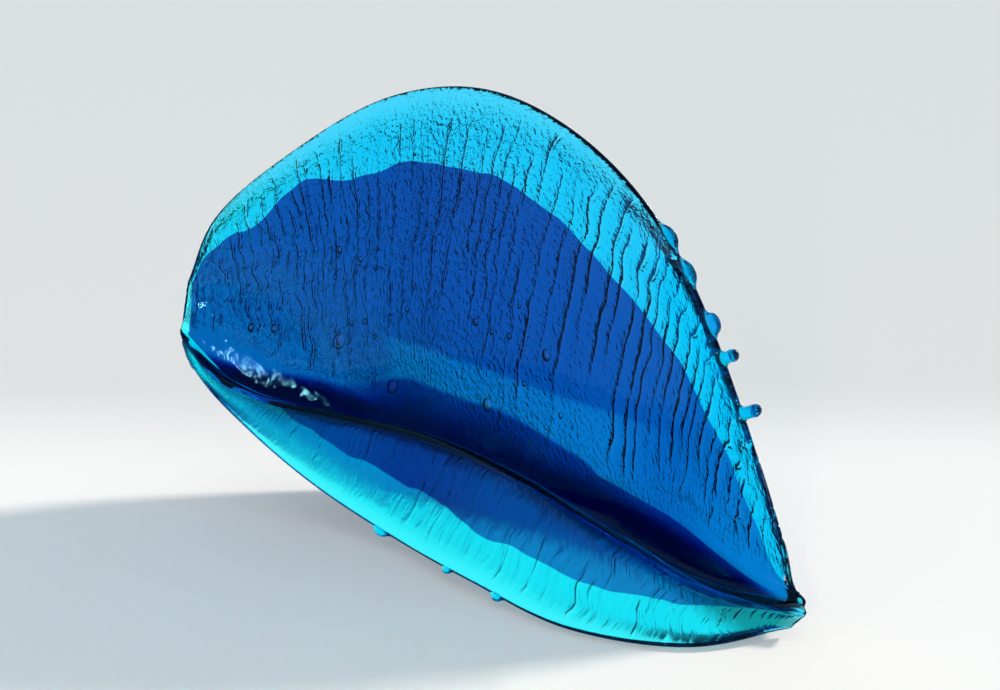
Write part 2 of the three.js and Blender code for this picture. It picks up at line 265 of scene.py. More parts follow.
# The floor as it is seen through glass, in metres along ACROSS: a painted pool of light under the lip
# and painted shade behind the keel, in place of the lamps' light and shadow
NEAR_GREY = (0.3, 0.3, 0.3)
# Painted pool of light on the floor under the lip, seen through the lip
LIP_LIGHT_POOL = (0.5, 0.98, 0.98)
KEEL_SHADE = (0.35, 0.38, 0.34)
FAR_PALE = (0.62, 0.71, 0.98)
FLOOR_THROUGH = [(-0.6, NEAR_GREY), (0.5, FAR_PALE), (-0.3, LIP_LIGHT_POOL), (0.01, LIP_LIGHT_POOL),
                 (0.032, KEEL_SHADE), (0.06, KEEL_SHADE), (0.085, FAR_PALE)]
THROUGH_LEVEL = 1.1
WORLD_COLOUR = (0.62, 0.83, 1, 1)
WORLD_LEVELS = [(-1, 0.2), (1, 0.85), (-0.05, 0.42), (0.6, 0.75)]  # along AWAY, from front to back
SUN_PLACE = (0.374, 0.927, 0.62)
SUN_SPREAD = 9  # degrees
SUN_LEVEL = 2.9
SUN_COLOUR = (1, 0.88, 0.75)
FRONT_LAMP_ENDS = (780, -1300, 480), (610, -1390, 590)
FRONT_LAMP_WIDTH = 0.1  # metres
FRONT_LAMP_POWER = 5
FRONT_LAMP_COLOUR = (1, 0.72, 0.5)


# Curves and noise

def curve_at(points, share):
    """Centripetal Catmull-Rom curve through points[..., k, :], at a share 0..1 for each row."""
    first = 2 * points[..., :1, :] - points[..., 1:2, :]
    last = 2 * points[..., -1:, :] - points[..., -2:-1, :]
    padded_points = np.concatenate([first, points, last], axis=-2)
    pieces = points.shape[-2] - 1
    run = np.clip(share, 0, 1) * pieces
    start = np.clip(run.astype(int), 0, pieces - 1)
    w = (run - start)[..., None]

    def corner(n):
        index = np.broadcast_to((start + n)[..., None, None], start.shape + (1, points.shape[-1]))
        return np.take_along_axis(padded_points, index, axis=-2)[..., 0, :]

    def knot(a, b):
        return np.maximum(np.linalg.norm(b - a, axis=-1, keepdims=True) ** 0.5, LEAST_KNOT)

    p0, p1, p2, p3 = (corner(n) for n in range(4))
    d0, d1, d2 = knot(p0, p1), knot(p1, p2), knot(p2, p3)
    leave = ((p1 - p0) / d0 - (p2 - p0) / (d0 + d1) + (p2 - p1) / d1) * d1
    arrive = ((p2 - p1) / d1 - (p3 - p1) / (d1 + d2) + (p3 - p2) / d2) * d1
    bend = -3 * p1 + 3 * p2 - 2 * leave - arrive
    twist = 2 * p1 - 2 * p2 + leave + arrive
    return p1 + leave * w + bend * w ** 2 + twist * w ** 3


def guide_at(guide, u, lift=0):
    """A guide curve at shares u, in millimetres."""
    points = np.array(guide, float) * np.array([LENGTH, DEPTH, HEIGHT]) / 100
    points[:, 2] += lift
    return curve_at(np.broadcast_to(points, np.shape(u) + points.shape), u)


def value_at(stations, u):
    """A smooth run of single values at shares u."""
    points = np.array(stations, float)[:, None]
    return curve_at(np.broadcast_to(points, np.shape(u) + points.shape), u)[..., 0]


def smooth_step(x, low, high):
    t = np.clip((x - low) / (high - low), 0, 1)
    return t * t * (3 - 2 * t)


def between(x, rise, fall):
    """1 between a rise and a fall, each a pair (start, end), and 0 outside them."""
    return smooth_step(x, *rise) * (1 - smooth_step(x, *fall))


def clear_of_ends(x, steepness):
    """0 at both ends of the run 0..1, and 1 away from them."""
    return np.minimum(1, steepness * x * (1 - x))


def smooth_noise(x, y, seed, cells=64):
    """Value noise of about -1..1, with one bump for each unit of x and y."""
    lattice = np.random.default_rng(seed).uniform(-1, 1, (cells, cells))
    ix, iy = np.floor(x).astype(int), np.floor(y).astype(int)
    fx, fy = smooth_step(x - ix, 0, 1), smooth_step(y - iy, 0, 1)

    def at(dx, dy):
        return lattice[(ix + dx) % cells, (iy + dy) % cells]

    near = at(0, 0) * (1 - fx) + at(1, 0) * fx
    far = at(0, 1) * (1 - fx) + at(1, 1) * fx
    return near * (1 - fy) + far * fy


def bumps(layers, u, v):
    """Sum of layers of noise, listed as height, bumps along u, bumps along v and seed."""
    return sum(height * smooth_noise(u * along, v * down, seed) for height, along, down, seed in layers)


# The inner face of the sheet

def face_point(u, v):
    fullness = np.sin(np.pi * u)[..., None]
    rim = guide_at(BACK_RIM, u)
    bottom = guide_at(KEEL, u, KEEL_GLASS - GRIND_DEPTH)
    top = guide_at(CREST, u)
    lip = guide_at(LIP_RIM, u, RIM_GLASS)
    radius = TROUGH_RADIUS * fullness

    def side(end, way, angle):
        flat = bottom + (end - bottom) * FLAT_STEP * (1 - fullness) * angle / QUARTER
        turn = np.array([0, way * math.sin(angle), 1 - math.cos(angle)])
        return flat + radius * turn

    back_side = side(rim, 1, QUARTER)
    bulge = BACK_BULGE * fullness * np.array([0, 1, 0])
    belly = rim + (back_side - rim) * BELLY_SHARE + bulge
    rib = np.stack([
        rim, belly, back_side, side(rim, 1, QUARTER / 2), bottom,
        side(top, -1, QUARTER / 2), side(top, -1, QUARTER), top, lip,
    ], axis=-2)
    return curve_at(rib, v)


def unit(vectors):
    return vectors / np.maximum(np.linalg.norm(vectors, axis=-1, keepdims=True), TINY)


def face_normal(edge_u, edge_v):
    """Unit normal into the trough, taken a little inside the edges."""
    u = np.clip(edge_u, NORMAL_INSET, 1 - NORMAL_INSET)
    v = np.clip(edge_v, NORMAL_INSET, 1 - NORMAL_INSET)
    along = face_point(u + NORMAL_STEP, v) - face_point(u - NORMAL_STEP, v)
    down = face_point(u, v + NORMAL_STEP) - face_point(u, v - NORMAL_STEP)
    return unit(np.cross(down, along))


def face_at(u, v):
    """Point and normal of the inner face at one place."""
    place = np.array([u]), np.array([v])
    return face_point(*place)[0], face_normal(*place)[0]


def glass_at(u, v):
    """Thickness of the base sheet."""
    full = RIM_GLASS + (KEEL_GLASS - RIM_GLASS) * np.sin(np.pi * v) ** 2
    inside = np.minimum(np.minimum(u, 1 - u), np.minimum(v, 1 - v))
    return EDGE_GLASS + (full - EDGE_GLASS) * smooth_step(inside, 0, EDGE_RUN)


# Columns and rows of the fine sheet

def walked(line):
    """Run along line[..., k, :] up to each of its points."""
    step = np.linalg.norm(np.diff(line, axis=-2), axis=-1)
    return np.concatenate([np.zeros(step.shape[:-1] + (1,)), np.cumsum(step, axis=-1)], axis=-1)


def row_shares():
    rows = [np.linspace(low, high, count, endpoint=False) for low, high, count in ROW_BANDS]
    return np.append(np.concatenate(rows), 1.0)


def fill_to(places, end):
    """Adds evenly spaced places after the last one, up to the end."""
    start = places[-1]
    count = max(1, math.ceil((end - start) / PLAIN_STEP))
    places += [start + (end - start) * k / count for k in range(1, count + 1)]


def wrinkle_columns(rng):
    """Runs and shares u of the columns, and the middle column and half width of each groove."""
    dense = np.linspace(0, 1, SPACED_STEPS + 1)
    run = walked(face_point(dense, np.full_like(dense, SPACED_AT)))
    crowd, size = value_at(WRINKLE_CROWD, dense), value_at(WRINKLE_SIZE, dense)
    places, grooves = [0.0], []
    at = WRINKLE_MARGIN
    while True:
        half = rng.uniform(*WRINKLE_HALF) * np.interp(at, run, size)
        at += rng.uniform(*WRINKLE_GAP) / np.interp(at, run, crowd) + half
        if at + half > run[-1] - WRINKLE_MARGIN:
            break
        fill_to(places, at - half)
        places += [at + half * k / 2 for k in (-1, 0, 1, 2)]
        grooves.append((len(places) - 3, half))
        at += half
    fill_to(places, run[-1])
    return np.array(places), np.interp(places, run, dense), grooves


rng = np.random.default_rng(SEED)
COLUMN_RUN, COLUMN_U, GROOVES = wrinkle_columns(rng)
ROW_V = row_shares()


def warped_grid():
    """Shares u and v of every point, with the columns drawn along the wrinkles."""
    u, v = np.meshgrid(COLUMN_U, ROW_V, indexing="ij")
    down = np.clip(v / FLAP_END, 0, 1) ** LEAN_POWER * (1 - smooth_step(v, *LEAN_FADE))
    lean = value_at(FLAP_LEAN, u) * down
    inside = clear_of_ends(u, WOBBLE_CLEAR[0]) * clear_of_ends(v, WOBBLE_CLEAR[1])
    wander = bumps([(WOBBLE, *WOBBLE_BUMPS, WOBBLE_SEED)], u, v) + groove_wander()
    return np.clip(u + lean + wander * inside, 0, 1), v


def groove_wander():
    """Sideways wander of each groove on its own, spread over the columns between them."""
    knots, shifts = [0], [np.zeros(len(ROW_V))]
    for n, (middle, _) in enumerate(GROOVES):
        before = COLUMN_U[middle - 2] - COLUMN_U[middle - 3]
        after = COLUMN_U[middle + 3] - COLUMN_U[middle + 2]
        row = np.full_like(ROW_V, n * WANDER_ROW)
        own = sum(share * smooth_noise(ROW_V * bends, row, seed)
                  for seed, (share, bends) in enumerate(WANDER_BUMPS, WANDER_SEED))
        for column in (middle - 2, middle + 2):
            knots.append(column)
            shifts.append(WANDER * min(before, after) * own)
    knots.append(len(COLUMN_U) - 1)
    shifts.append(np.zeros(len(ROW_V)))
    columns = np.arange(len(COLUMN_U))
    return np.stack([np.interp(columns, knots, row) for row in np.array(shifts).T], axis=1)


def groove_depths():
    """Depth of the wrinkles at every point, in millimetres."""
    depth = np.zeros((len(COLUMN_U), len(ROW_V)))
    v = ROW_V
    for middle, half in GROOVES:
        u = COLUMN_U[middle]
        deepest = min(WRINKLE_DEEPEST, half * rng.choice(WRINKLE_SLOPES, p=WRINKLE_CHANCES))
        start = value_at(WRINKLE_START, np.array(u)) + rng.uniform(*START_SPREAD)
        end = value_at(WRINKLE_END, np.array(u)) + rng.uniform(*END_SPREAD)
        row = np.full_like(v, middle * BREAK_ROW)
        breaks = BREAK_DEPTH * smooth_noise(v * BREAKS, row, BREAK_SEED)
        flap = between(v, (start, start + START_FADE), (end - END_FADE, end))
        flap *= np.clip(FLAP_LEVEL + breaks, 0, FLAP_MOST)
        lip = smooth_step(v, *LIP_START) * np.clip(LIP_LEVEL + breaks, 0, LIP_MOST)
        run = deepest * flap + half * rng.uniform(*LIP_SLOPES) * lip
        run *= between(v, *RIM_CLEAR)
        run *= clear_of_ends(u, TIP_CLEAR)
        depth[middle] += run
        depth[middle - 1] += run / 2
        depth[middle + 1] += run / 2
    return depth


# Meshes

def make_object(name, points, faces, material, smooth=True, uv=None, values=None):
    """A mesh object from points in millimetres. Values are named, one to a point, for the material."""
    mesh = bpy.data.meshes.new(name)
    mesh.from_pydata((np.asarray(points) * MM).tolist(), [], faces)
    mesh.polygons.foreach_set("use_smooth", [smooth] * len(mesh.polygons))
    if uv is not None:
        layer = mesh.uv_layers.new(name="UVMap")
        loops = np.zeros(len(mesh.loops), np.int32)
        mesh.loops.foreach_get("vertex_index", loops)
        layer.data.foreach_set("uv", np.asarray(uv)[loops].astype(np.float32).ravel())
    for title, numbers in (values or {}).items():
        attribute = mesh.attributes.new(title, "FLOAT", "POINT")
        attribute.data.foreach_set("value", numbers.astype(np.float32))
    mesh.materials.append(material)
    mesh.update()
    piece = bpy.data.objects.new(name, mesh)
    bpy.context.scene.collection.objects.link(piece)
    return piece


def padded(values, count):
    """The values, followed by zeros up to a count."""
    return np.concatenate([values, np.zeros((count - len(values), *values.shape[1:]))])


def grid_faces(index, flip):
    """Quads over a grid of point numbers."""
    a, b, c, d = index[:-1, :-1], index[:-1, 1:], index[1:, 1:], index[1:, :-1]
    order = (a, d, c, b) if flip else (a, b, c, d)
    return np.stack(order, axis=-1).reshape(-1, 4).tolist()


def band_faces(low, high):
    """Quads between two closed rings of point numbers."""
    return np.stack([low, np.roll(low, -1), np.roll(high, -1), high], axis=-1).tolist()


def ring_faces(grid):
    """Quads between rings of point numbers, that run from pole to pole."""
    near, far = grid[:-1], grid[1:]
    quads = np.stack([near, far, np.roll(far, -1, axis=1), np.roll(near, -1, axis=1)], axis=-1)
    return quads.reshape(-1, 4).tolist()


def cap_faces(pole, ring):
    """Triangles from a pole to a ring of point numbers."""
    ring = [int(n) for n in ring]
    return [[int(pole), a, b] for a, b in zip(ring, ring[1:] + ring[:1])]


def flipped(faces):
    return [face[::-1] for face in faces]


def edge_loop(columns, rows):
    """Column numbers and row numbers of the grid's edge, in order from the last column's back rim."""
    loop = [(i, 0) for i in range(columns - 1, 0, -1)]
    loop += [(0, j) for j in range(rows - 1)]
    loop += [(i, rows - 1) for i in range(columns - 1)]
    loop += [(columns - 1, j) for j in range(rows - 1, 0, -1)]
    return tuple(np.array(loop).T)


def sheet_mesh(inner, outer, normal, kept):
    """Points and faces of a closed sheet. The inner face has only the kept columns."""
    columns, rows = outer.shape[:2]
    points = [outer.reshape(-1, 3)]
    outer_index = np.arange(columns * rows).reshape(columns, rows)
    count = columns * rows
    inner_index = np.full((columns, rows), -1)
    inner_index[kept] = count + np.arange(len(kept) * rows).reshape(len(kept), rows)
    points.append(inner[kept].reshape(-1, 3))
    count += len(kept) * rows
    faces = grid_faces(outer_index, True) + grid_faces(inner_index[kept], False)

    at = edge_loop(columns, rows)
    top, bottom, up = inner[at], outer[at], normal[at]
    middle, half = (top + bottom) / 2, np.linalg.norm(top - bottom, axis=1, keepdims=True) / 2
    along = np.roll(middle, -1, axis=0) - np.roll(middle, 1, axis=0)
    out = unit(np.cross(along, up))
    rings = [outer_index[at]]
    for k in range(1, RIM_STEPS):
        turn = math.pi * k / RIM_STEPS
        points.append(middle - up * half * math.cos(turn) + out * half * math.sin(turn))
        rings.append(count + np.arange(len(middle)))
        count += len(middle)
    for low, high in zip(rings[:-1], rings[1:]):
        faces += band_faces(low, high)
    faces += zip_edge(rings[-1], inner_index[at])
    return np.concatenate(points), faces


def zip_edge(ring, inner):
    """Faces between the whole ring and the inner edge, which skips some of its columns."""
    stops = [n for n, number in enumerate(inner) if number >= 0]
    faces = []
    for here, there in zip(stops, stops[1:] + [stops[0] + len(ring)]):
        span = [ring[n % len(ring)] for n in range(here, there + 1)]
        faces.append([int(n) for n in span + [inner[there % len(ring)], inner[here]]])
    return faces


# The base sheet

def skin_values(u, v, puckered):
    """Strengths of the surface texture on the outer face, then on the kept columns of the inner face."""
    relief = np.interp(v, *zip(*RELIEF_ZONES)) * value_at(RELIEF_ALONG, u)
    along = np.where(v < CREST_SHARE, value_at(STREAKS_ALONG, u), 1)
    streaks = np.interp(v, *zip(*STREAK_ZONES)) * along
    frost = np.interp(v, *zip(*FROST_ZONES)) * value_at(FROST_ALONG, u)
    return {
        "relief": np.append(relief, INNER_RELIEF + PUCKER_RELIEF * puckered),
        "streaks": np.append(streaks, PUCKER_STREAKS * puckered),
        "frost": frost.ravel(),
    }


def base_sheet(material):
    u, v = warped_grid()
    skin, normal = face_point(u, v), face_normal(u, v)
    puckered = between(u, *PUCKER_ALONG) * between(v, *PUCKER_DOWN)
    slanted = u * PUCKER_BUMPS[0] + v * PUCKER_SLANT
    ripple = bumps(INNER_RIPPLES, u, v)
    ripple += PUCKER * puckered * smooth_noise(slanted, v * PUCKER_BUMPS[1], PUCKER_SEED)
    swell = bumps(OUTER_SWELLS, u, v)
    clear = between(v, *UNEVEN_CLEAR)
    inner = skin + normal * (ripple * clear)[..., None]
    outer = skin - normal * (glass_at(u, v) + swell * clear - groove_depths())[..., None]
    outer[..., 2] = np.maximum(outer[..., 2], 0)
    kept = sorted(set(range(0, len(COLUMN_U), INNER_SKIP)) | {len(COLUMN_U) - 1})
    points, faces = sheet_mesh(inner, outer, normal, kept)
    flat = np.stack([np.broadcast_to(COLUMN_RUN[:, None], v.shape), walked(skin)], axis=-1) * MM
    rim = flat[edge_loop(*u.shape)]
    uv = np.concatenate([flat.reshape(-1, 2), flat[kept].reshape(-1, 2)] + [rim] * (RIM_STEPS - 1))
    for at_u, at_v, half in BUBBLES:
        shell, shell_faces = bubble(at_u, at_v, BUBBLE_SCALE * half, len(points))
        points = np.concatenate([points, shell])
        faces += shell_faces
    uv = padded(uv, len(points))
    values = skin_values(u, v, puckered[kept])
    values = {title: padded(numbers, len(points)) for title, numbers in values.items()}
    piece = make_object("turquoise_sheet", points, faces, material, uv=uv, values=values)
    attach(piece, "root")
    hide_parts("base_sheet")


def bubble(u, v, half, first):
    """Closed shell of air in the glass, a little drawn out down the rib."""
    skin, normal = face_at(u, v)
    ahead, _ = face_at(u + NORMAL_STEP, v)
    along = unit(ahead - skin)
    down = np.cross(normal, along)
    middle = skin - normal * BUBBLE_DEPTH
    thick = min(half, BUBBLE_FLATNESS)
    points = [middle + normal * thick]
    for ring in range(1, BUBBLE_RINGS):
        tilt = math.pi * ring / BUBBLE_RINGS
        for step in range(BUBBLE_ROUND):
            turn = 2 * math.pi * step / BUBBLE_ROUND
            wide = along * math.cos(turn) * half + down * math.sin(turn) * half * BUBBLE_STRETCH
            points.append(middle + normal * thick * math.cos(tilt) + wide * math.sin(tilt))
    points.append(middle - normal * thick)
    grid = first + 1 + np.arange((BUBBLE_RINGS - 1) * BUBBLE_ROUND).reshape(-1, BUBBLE_ROUND)
    faces = cap_faces(first, grid[0]) + ring_faces(grid)
    faces += cap_faces(first + len(points) - 1, grid[-1][::-1])
    return np.array(points), flipped(faces)


# Drops and rod stubs

def rim_drop(name, v, drop, material):
    """A drop of glass that sits on the rim, from its saddled foot to its round end."""
    u, radius, reach = drop
    point, normal = face_at(u, v)
    before, after = face_point(np.array([u - RIM_PROBE, u + RIM_PROBE]), np.array([v, v]))
    along = unit(after - before)
    inside, _ = face_at(u, abs(v - EDGE_PROBE))
    out = unit(np.cross(np.cross(along, point - inside), along))
    across = np.cross(out, along)
    root = point - normal * EDGE_GLASS / 2
    tall = RIM_GLASS / 2 + reach - SADDLE_RADIUS
    cap = min(radius, DROP_CAP * tall)
    fillet = min(ROOT_HEIGHT, ROOT_SHARE * tall)
    swell = max(0, min(radius, DROP_DEPTH) - SADDLE_RADIUS)
    turn = 2 * np.pi * np.arange(DROP_ROUND) / DROP_ROUND

    def ring(share, rise):
        """Ring of points at a rise over the foot. A share below 1 is a ring in the foot's underside."""
        end = math.sqrt(max(0, 1 - max(0, (rise - tall + cap) / cap) ** 2))
        bump_place = turn * LUMP_BUMPS[0] + u * LUMP_SHIFT
        bump_rise = np.full_like(turn, rise * LUMP_BUMPS[1])
        lump = 1 + LUMPS * smooth_noise(bump_place, bump_rise, LUMP_SEED)
        wide = share * end * radius * (1 + ROOT_FLARE * max(0, 1 - rise / fillet) ** 2) * lump
        deepest = SADDLE_RADIUS + swell * smooth_step(rise, 0, ROOT_HEIGHT)
        offset = share * end * deepest * lump * np.sin(turn)
        saddle = np.sqrt(np.maximum(0, SADDLE_RADIUS ** 2 - offset ** 2))
        settled = smooth_step(rise, 0, fillet)
        lift = rise + saddle * (1 - settled) + SADDLE_RADIUS * settled
        return (root + along * (wide * np.cos(turn))[:, None]
                + across * offset[:, None] + out * lift[:, None])

    rings = [ring(share, 0) for share in FOOT_SHARES]
    rings += [ring(1, tall * math.sin(QUARTER * k / DROP_RINGS)) for k in range(DROP_RINGS)]
    foot, end = root + out * SADDLE_RADIUS, root + out * (SADDLE_RADIUS + tall)
    points = np.concatenate([[foot], np.concatenate(rings), [end]])
    grid = 1 + np.arange(len(rings) * DROP_ROUND).reshape(-1, DROP_ROUND)
    faces = flipped(ring_faces(grid) + cap_faces(0, grid[0]))
    faces += cap_faces(len(points) - 1, grid[-1])
    ring_numbers = np.repeat(np.arange(len(rings)), DROP_ROUND)
    around = np.stack([np.tile(turn * radius, len(rings)), ring_numbers], axis=1)
    uv = np.concatenate([[[0, 0]], around, [[0, len(rings)]]]) * MM
    values = {"relief": np.full(len(points), DROP_RELIEF)}
    piece = make_object(name + "_glass", points, faces, material, uv=uv, values=values)
    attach(piece, "root")
    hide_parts(name)


# The cobalt sheet

def rib_lengths(u, count=200):
    """Run from the back rim at evenly spaced shares of each rib."""
    v = np.linspace(0, 1, count)
    uu, vv = np.meshgrid(u, v, indexing="ij")
    return v, walked(face_point(uu, vv))


def cobalt_rows(u):
    """Shares v of the cobalt's rows on each rib, and those of the painted reflection, the second layer
    and its end.

    Some rows follow the sheet's own edges and some those of the painted reflection and the second layer.
    """
    v, run = rib_lengths(u)
    wave = bumps(COBALT_WAVES, u, u)
    wave *= clear_of_ends(u, WAVE_CLEAR)
    back = value_at(COBALT_BACK, u) + wave
    front = value_at(COBALT_FRONT, u) + wave[::-1]
    upper = np.array([np.interp(gap, rib, v) for gap, rib in zip(back, run)])
    lower = np.array([np.interp(rib[-1] - gap, rib, v) for gap, rib in zip(front, run)])
    lower = np.minimum(np.maximum(lower, CREST_SHARE), TIP_STOP + TIP_GROWTH * smooth_step(u, *TIP_RUN))
    crest = np.minimum(CREST_SHARE, lower) - CREST_INSET
    double = np.maximum(value_at(DOUBLE_EDGE, u), upper + DOUBLE_INSET)
    reflection_edge = np.clip(value_at(REFLECTION_BAND_EDGE, u), upper + EDGE_GAP, double - EDGE_GAP)
    finish = np.maximum(value_at(DOUBLE_END, u), double + DOUBLE_FADE)
    finish = np.minimum(finish, crest - EDGE_GAP)
    marks = [upper, reflection_edge - DOUBLE_STEP, reflection_edge + DOUBLE_STEP,
             double - DOUBLE_STEP, double + DOUBLE_STEP, finish, crest, lower]
    rows = [upper]
    for low, high, count in zip(marks[:-1], marks[1:], COBALT_ROWS):
        rows += [low + (high - low) * k / count for k in range(1, count + 1)]
    return np.stack(rows, axis=1), reflection_edge[:, None], double[:, None], finish[:, None]


def cobalt_thickness(u, v, reflection_edge, double, finish):
    """Thickness of the cobalt: single and thicker mid-lip as a painted shadow, thinner in a band as a
    painted reflection, doubled as a second layer that also paints the valley's shade, or drawn thin
    round the keel.
    """
    crisp = value_at(DOUBLE_CRISP, u)
    # The second layer's extra cobalt is partly real and partly painted shade that darkens the valley
    doubled_and_shaded = crisp * smooth_step(v, double - DOUBLE_STEP, double + DOUBLE_STEP)
    doubled_and_shaded += (1 - crisp) * smooth_step(v, double, (double + finish) / 2)
    doubled_and_shaded *= 1 - smooth_step(v, finish - DOUBLE_FADE, finish)
    doubled_and_shaded *= between(u, *DOUBLE_RUN)
    drawn = between(v, (finish - DOUBLE_FADE, finish), THIN_FADE)
    # Thinner cobalt in a band: a painted reflection that lightens it
    painted_reflection = between(v, (reflection_edge - DOUBLE_STEP, reflection_edge + DOUBLE_STEP), REFLECTION_BAND_FADE) * between(u, *REFLECTION_BAND_RUN)
    single = value_at(COBALT_GLASS, u)
    # On the lip the cobalt is thicker near the middle, a painted shadow
    thick = single + (value_at(LIP_COBALT_AND_SHADOW, u) - single) * smooth_step(v, *LIP_BLEND)
    thick *= 1 - (1 - REFLECTION_BAND_SHARE) * painted_reflection
    return thick + (value_at(DOUBLE_GLASS_AND_SHADE, u) - thick) * doubled_and_shaded - (thick - THIN_GLASS) * drawn


def film_mesh(inner, outer):
    columns, rows = inner.shape[:2]
    low = np.arange(columns * rows).reshape(columns, rows)
    high = low + columns * rows
    at = edge_loop(columns, rows)
    faces = grid_faces(low, True) + grid_faces(high, False) + band_faces(low[at], high[at])
    return np.concatenate([outer.reshape(-1, 3), inner.reshape(-1, 3)]), faces


def cobalt_sheet(material):
    column_u = np.linspace(*COBALT_RUN, COBALT_COLUMNS)
    v, reflection_edge, double, finish = cobalt_rows(column_u)
    u = np.broadcast_to(column_u[:, None], v.shape)
    skin, normal = face_point(u, v), face_normal(u, v)
    thick = cobalt_thickness(u, v, reflection_edge, double, finish)
    inner = skin - normal * COBALT_COVER
    outer = skin - normal * (COBALT_COVER + thick)[..., None]
    points, faces = film_mesh(inner, outer)
    piece = make_object("cobalt_sheet", points, faces, material)
    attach(piece, "root")
    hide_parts("overlay_sheet")


# Materials

def shade(nodes, operation, first, second, links):
    """A math node, whose inputs are sockets or numbers."""
    node = nodes.new("ShaderNodeMath")
    node.operation = operation
    for socket, value in zip(node.inputs, (first, second)):
        if isinstance(value, (int, float)):
            socket.default_value = value
        else:
            links.new(value, socket)
    return node.outputs[0]


def mesh_value(nodes, name):
    """A named value of the mesh."""
    node = nodes.new("ShaderNodeAttribute")
    node.attribute_name = name
    return node.outputs["Fac"]


def glass_material(name, body, ior=GLASS_IOR, textured=True, frosted=False):
    """Clear glass with a coloured body. Its mesh says how strongly it is textured and frosted."""
    material = bpy.data.materials.new(name)
    material.use_nodes = True
    nodes, links = material.node_tree.nodes, material.node_tree.links
    shader = nodes["Principled BSDF"]
    shader.inputs["Base Color"].default_value = (1, 1, 1, 1)
    shader.inputs["Roughness"].default_value = POLISH
    shader.inputs["IOR"].default_value = ior
    shader.inputs["Transmission Weight"].default_value = 1
    shader.inputs["Specular Tint"].default_value = SHEEN
    colour, density = body
    absorb = nodes.new("ShaderNodeVolumeAbsorption")
    absorb.inputs["Color"].default_value = (*colour, 1)
    absorb.inputs["Density"].default_value = density
    links.new(absorb.outputs["Volume"], nodes["Material Output"].inputs["Volume"])
    if textured:
        bump = nodes.new("ShaderNodeBump")
        bump.inputs["Distance"].default_value = SKIN_HEIGHT
        links.new(wrinkle_texture(nodes, links), bump.inputs["Height"])
        links.new(bump.outputs["Normal"], shader.inputs["Normal"])
    if frosted:
        rough = shade(nodes, "ADD", mesh_value(nodes, "frost"), POLISH, links)
        links.new(rough, shader.inputs["Roughness"])
    return material


def noise_layer(nodes, links, place, scale, detail):
    """Noise with its own scale across and along the wrinkles, in bumps to the metre."""
    stretch = nodes.new("ShaderNodeMapping")
    stretch.inputs["Scale"].default_value = (*scale, 1)
    links.new(place, stretch.inputs["Vector"])
    noise = nodes.new("ShaderNodeTexNoise")
    noise.inputs["Scale"].default_value = 1
    noise.inputs["Detail"].default_value = detail
    links.new(stretch.outputs["Vector"], noise.inputs["Vector"])
    return noise.outputs["Fac"]


def wrinkle_texture(nodes, links):
    """Pebbled skin with fine streaks that run down the wrinkles, where the mesh asks for them."""
    place = nodes.new("ShaderNodeTexCoord").outputs["UV"]
    layers = []
    for name, noise in (("relief", PEBBLES), ("streaks", STREAKS)):
        layer = noise_layer(nodes, links, place, *noise)
        layers.append(shade(nodes, "MULTIPLY", layer, mesh_value(nodes, name), links))
    return shade(nodes, "ADD", *layers, links)


# Stage

def make_camera():
    azimuth, elevation = math.radians(VIEW_AZIMUTH), math.radians(VIEW_ELEVATION)
    back = Vector((math.sin(azimuth) * math.cos(elevation),
                   -math.cos(azimuth) * math.cos(elevation), math.sin(elevation)))
    data = bpy.data.cameras.new("view")
    data.lens = LENS
    data.sensor_width = SENSOR
    camera = bpy.data.objects.new("view", data)
    camera.location = (Vector(VIEW_TARGET) + back * VIEW_DISTANCE) * MM
    camera.rotation_euler = (-back).to_track_quat("-Z", "Y").to_euler()
    bpy.context.scene.collection.objects.link(camera)
    bpy.context.scene.camera = camera


def ramp(nodes, links, place, way, stops):
    """Colour along a level direction, through stops of (place, level) or (place, colour)."""
    distance = nodes.new("ShaderNodeVectorMath")
    distance.operation = "DOT_PRODUCT"
    distance.inputs[1].default_value = way
    links.new(place, distance.inputs[0])
    low, high = stops[0][0], stops[1][0]
    spread = nodes.new("ShaderNodeMapRange")
    spread.inputs["From Min"].default_value = low
    spread.inputs["From Max"].default_value = high
    links.new(distance.outputs["Value"], spread.inputs["Value"])
    colours = nodes.new("ShaderNodeValToRGB")
    colours.color_ramp.interpolation = "EASE"
    for n, (at, level) in enumerate(stops):
        share = (at - low) / (high - low)
        stop = colours.color_ramp.elements[n] if n < 2 else colours.color_ramp.elements.new(share)
        stop.position = share
        stop.color = (*np.broadcast_to(level, 3), 1)
    links.new(spread.outputs["Result"], colours.inputs["Fac"])
    return colours.outputs["Color"]


